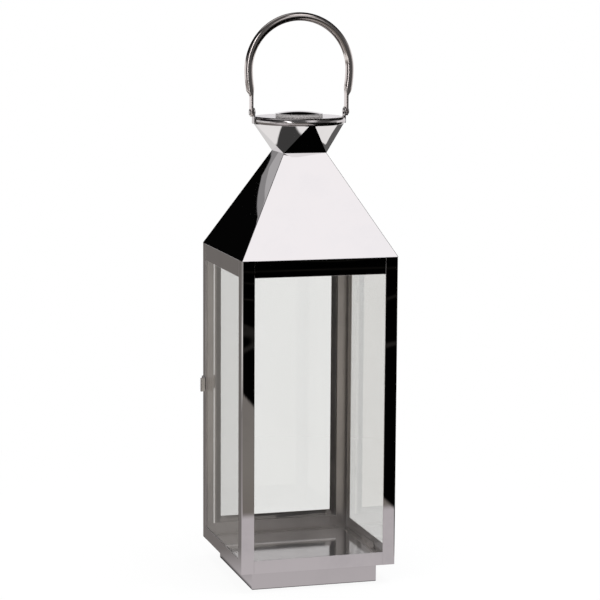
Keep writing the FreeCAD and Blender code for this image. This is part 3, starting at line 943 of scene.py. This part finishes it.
# pairs are where a light is full and where it ends, and a third number is its strength
roomSizes = {
    "boxes": (  # direction, inner and outer cosine, strength
        ((0.28, -0.56, 0.79), 0.985, 0.965, 1.11),   # over the front roof
        ((-0.2, 0.35, 0.92), 0.96, 0.90, 0.4),       # overhead
        ((0.256, -0.89, 0.375), 0.985, 0.965, 0.7),  # in front
    ),
    "leftLight": (-0.97, -0.93, 0.12), "rightLight": (0.95, 0.85, 0.3),
    "frontLight": (-0.35, 0.0, 0.08),
    "behind": (0.1, -0.1), "backBand": (0.115, 0.135, 0.8),
    "backRight": (0.15, 0.0), "backSlope": (0.20, 0.26, 0.8),
    "patchMiddle": -0.21, "patchWidth": (0.05, 0.06), "patchTop": (0.25, 0.28),
    "patchLines": ((0.333, 0.2510), (1.62, 0.5155)),  # slope and level
    "patchPale": (0.0004, -0.0004, 0.27), "patchBright": (0.0064, 0.0052, 0.44),
    "stripMiddle": -0.63, "stripWidth": (0.035, 0.065, 3.0), "stripFront": (-0.5, -0.3),
    "insideLight": (0.3, -0.2, 0.6), "insideRoom": 0.42, "room": 0.0015,
    "tone": (1, 0.975, 1.0), "softLight": 0.7,
}


# the room by direction: soft boxes by the cosine to their middle, sides by x, front by y, low
# bands behind by z, a pale patch behind where z is over two lines in x, and a strip in front by x
def buildRoom(s):
    scene.world = bpy.data.worlds.new("studioRoom")
    tree = emptyTree(scene.world)
    direction = wire(tree, "TexCoord")["Generated"]
    x, y, z = wire(tree, "SeparateXYZ", i0=direction)
    lights = []
    for middle, inner, outer, strength in s["boxes"]:
        unit = tuple(np.array(middle) / np.linalg.norm(middle))
        near = wire(tree, "VectorMath", {"operation": "DOT_PRODUCT"}, i0=direction, i1=unit)
        lights.append(fade(near["Value"], inner, outer, strength))
    for value, name in ((x, "leftLight"), (x, "rightLight"), (y, "frontLight")):
        lights.append(fade(value, *s[name]))
    behind = fade(y, *s["behind"])
    lights.append(product(behind, fade(z, *s["backBand"])))
    right = product(behind, fade(x, *s["backRight"]))
    lights.append(product(right, fade(z, *s["backSlope"])))
    over = reckon("MINIMUM", *(overLine(z, x, *line) for line in s["patchLines"]))
    across = fade(apart(x, s["patchMiddle"]), *s["patchWidth"])
    tones = largest(fade(over, *s["patchPale"]), fade(over, *s["patchBright"]))
    lights.append(product(behind, across, fade(z, *s["patchTop"]), tones))
    strip = fade(apart(x, s["stripMiddle"]), *s["stripWidth"])
    lights.append(product(strip, fade(y, *s["stripFront"])))
    light = largest(*lights, s["room"])
    inside = largest(fade(y, *s["insideLight"]), s["insideRoom"])
    shown, bounced, behindGlass = seenDirectly(tree)
    level = wire(tree, "Mix", {"data_type": "FLOAT"}, i0=behindGlass, i2=light, i3=inside)
    glossy = shine(tree, "Background", s["tone"], level[0])
    white = shine(tree, "Background")
    soft = shine(tree, "Background", strength=s["softLight"])
    seen = mixShaders(shown, mixShaders(bounced, soft, glossy), white)
    wire(tree, "OutputWorld", i0=seen)


# pairs are where a part is full and where it ends, and a third number is its strength
floorSizes = {
    "reach": 3.2, "pale": (0.9, 0.9, 0.9), "shade": 0.08, "shadeRange": (0.1, 0.75),
    "rampRange": (-2.5, 0.5),  # y at the two ends of the tones
    "tones": ((0.0, (0.05, 0.045, 0.04)), (0.36, (0.19, 0.175, 0.165)),
              (0.60, (0.21, 0.195, 0.18)), (0.682, (0.19, 0.172, 0.158)),
              (0.69, (0.53, 0.495, 0.515)), (0.81, (0.56, 0.525, 0.545)),
              (0.87, (0.19, 0.175, 0.17)), (1.0, (0.17, 0.157, 0.15))),
    # the foot numbers paint a contact shadow on the floor under the plinth: its range out from the
    # plinth and its darkest tone
    "litRange": (0.203, 0.214), "darkest": 0.004, "footShadowRange": (0.0735, 0.0785), "footShadowTone": 0.03,
    "swirlScale": 3.0, "swirlMiddle": 0.5, "swirl": (0.0, 0.05, 0.12), "swirlEnd": (-1.65, -1.5),
    "brightTone": (0.95, 0.935, 0.935), "behindGlass": (0.52, 0.49, 0.46),
    "leftWhite": (-1.15, -1.05), "leftEnd": (-1.9, -2.0),
    "leftFlag": (0.867, 0.942), "rightFlag": (0.98, -1.506),  # slope and level
    "flagFront": (-0.464, -0.472), "flagEdge": 0.006, "leftFlagTone": 0.055, "rightFlagTone": 0.13,
    "rightWhite": (1.45, 1.35), "rightBack": (0.2, 0.1),
    "backWhite": (1.2, 1.0), "backSide": (-0.15, -0.25), "backTone": 0.75,
}


# grey by y, dark to the right of a line in x except for a few swirls, and a painted contact shadow
# under the plinth
def greyFloor(tree, s, place, x, y):
    ramp = wire(tree, "ValToRGB", i0=spread(y, 0.0, 1.0, *s["rampRange"]))
    points = ramp[0].node.color_ramp.elements
    while len(points) < len(s["tones"]):
        points.new(0.5)
    for point, (at, tone) in zip(points, s["tones"]):
        point.position = at
        point.color = (*tone, 1)
    swirl = wire(tree, "TexNoise", Vector=place, Scale=s["swirlScale"], Detail=0.0)
    swirl = fade(apart(swirl[0], s["swirlMiddle"]), *s["swirl"])
    dark = largest(product(swirl, fade(y, *s["swirlEnd"])), s["darkest"])
    outside = largest(reckon("ABSOLUTE", x), reckon("ABSOLUTE", y))
    # painted contact shadow: the floor's tone falls to its darkest under the plinth
    foot = spread(outside, s["footShadowTone"], 1.0, *s["footShadowRange"], True)
    lit = product(largest(fade(x, *s["litRange"]), dark), foot)
    return shine(tree, "Emission", ramp[0], lit)


# white far to the left, far to the right and behind, with a dark flag across each side:
# y under a line in x on the left, over one on the right
def brightFloor(tree, s, x, y):
    edge = s["flagEdge"]
    leftFlag = product(fade(y, *s["flagFront"]),
                       fade(overLine(y, x, *s["leftFlag"]), -edge, edge))
    rightFlag = fade(overLine(y, x, *s["rightFlag"]), edge, -edge)
    left = product(fade(x, *s["leftWhite"]), fade(x, *s["leftEnd"]))
    right = product(fade(x, *s["rightWhite"]), fade(y, *s["rightBack"]))
    back = product(fade(y, *s["backWhite"]), fade(x, *s["backSide"]))
    level = largest(product(left, spread(leftFlag, 1.0, s["leftFlagTone"])),
                    product(right, spread(rightFlag, 1.0, s["rightFlagTone"])),
                    product(back, s["backTone"]))
    share = largest(left, right, back)
    return share, shine(tree, "Emission", s["brightTone"], level)


# a flat sheet at height zero, white with a soft shade where it is seen, and grey in mirrors
def buildFloor(s):
    mesh = bpy.data.meshes.new("studioFloor")
    r = s["reach"]
    mesh.from_pydata([(-r, -r, 0), (r, -r, 0), (r, r, 0), (-r, r, 0)], [], [(0, 1, 2, 3)])
    floor = bpy.data.objects.new("studioFloor", mesh)
    scene.collection.objects.link(floor)
    material = bpy.data.materials.new("paleFloor")
    tree = emptyTree(material)
    place = wire(tree, "TexCoord")["Object"]
    x, y = wire(tree, "SeparateXYZ", i0=place)[:2]
    tinted = greyFloor(tree, s, place, x, y)
    share, bright = brightFloor(tree, s, x, y)
    shown, bounced, behindGlass = seenDirectly(tree)
    dim = shine(tree, "Emission", s["behindGlass"])
    grey = mixShaders(behindGlass, mixShaders(share, tinted, bright), dim)
    diffuse = wire(tree, "BsdfDiffuse", Color=(*s["pale"], 1))[0]
    white = shine(tree, "Emission")
    away = wire(tree, "VectorMath", {"operation": "LENGTH"}, i0=place)["Value"]
    keep = spread(away, 1.0 - s["shade"], 1.0, *s["shadeRange"], True)
    pale = mixShaders(keep, diffuse, white)
    seen = mixShaders(shown, mixShaders(bounced, diffuse, grey), pale)
    wire(tree, "OutputMaterial", i0=seen)
    mesh.materials.append(material)


# place, width and power of each lamp; all face one point inside the lantern
lampSizes = {"topLamp": ((0.3, -0.4, 2.4), 1.8, 38.0), "leftLamp": ((-2.0, -1.2, 1.4), 1.4, 18.0)}
lampAim = (0, 0, 0.25)


# square soft lamps that light dull faces and stay out of mirrors
def buildLamps(sizes):
    for name, (place, width, power) in sizes.items():
        lamp = bpy.data.lights.new(name, "AREA")
        lamp.size = width
        lamp.energy = power
        holder = bpy.data.objects.new(name, lamp)
        scene.collection.objects.link(holder)
        holder.location = place
        holder.rotation_mode = "QUATERNION"
        holder.rotation_quaternion = (Vector(lampAim) - Vector(place)).to_track_quat("-Z", "Y")
        holder.visible_glossy = holder.visible_transmission = holder.visible_camera = False


buildRoom(roomSizes)
buildFloor(floorSizes)
buildLamps(lampSizes)
print("studio ready")
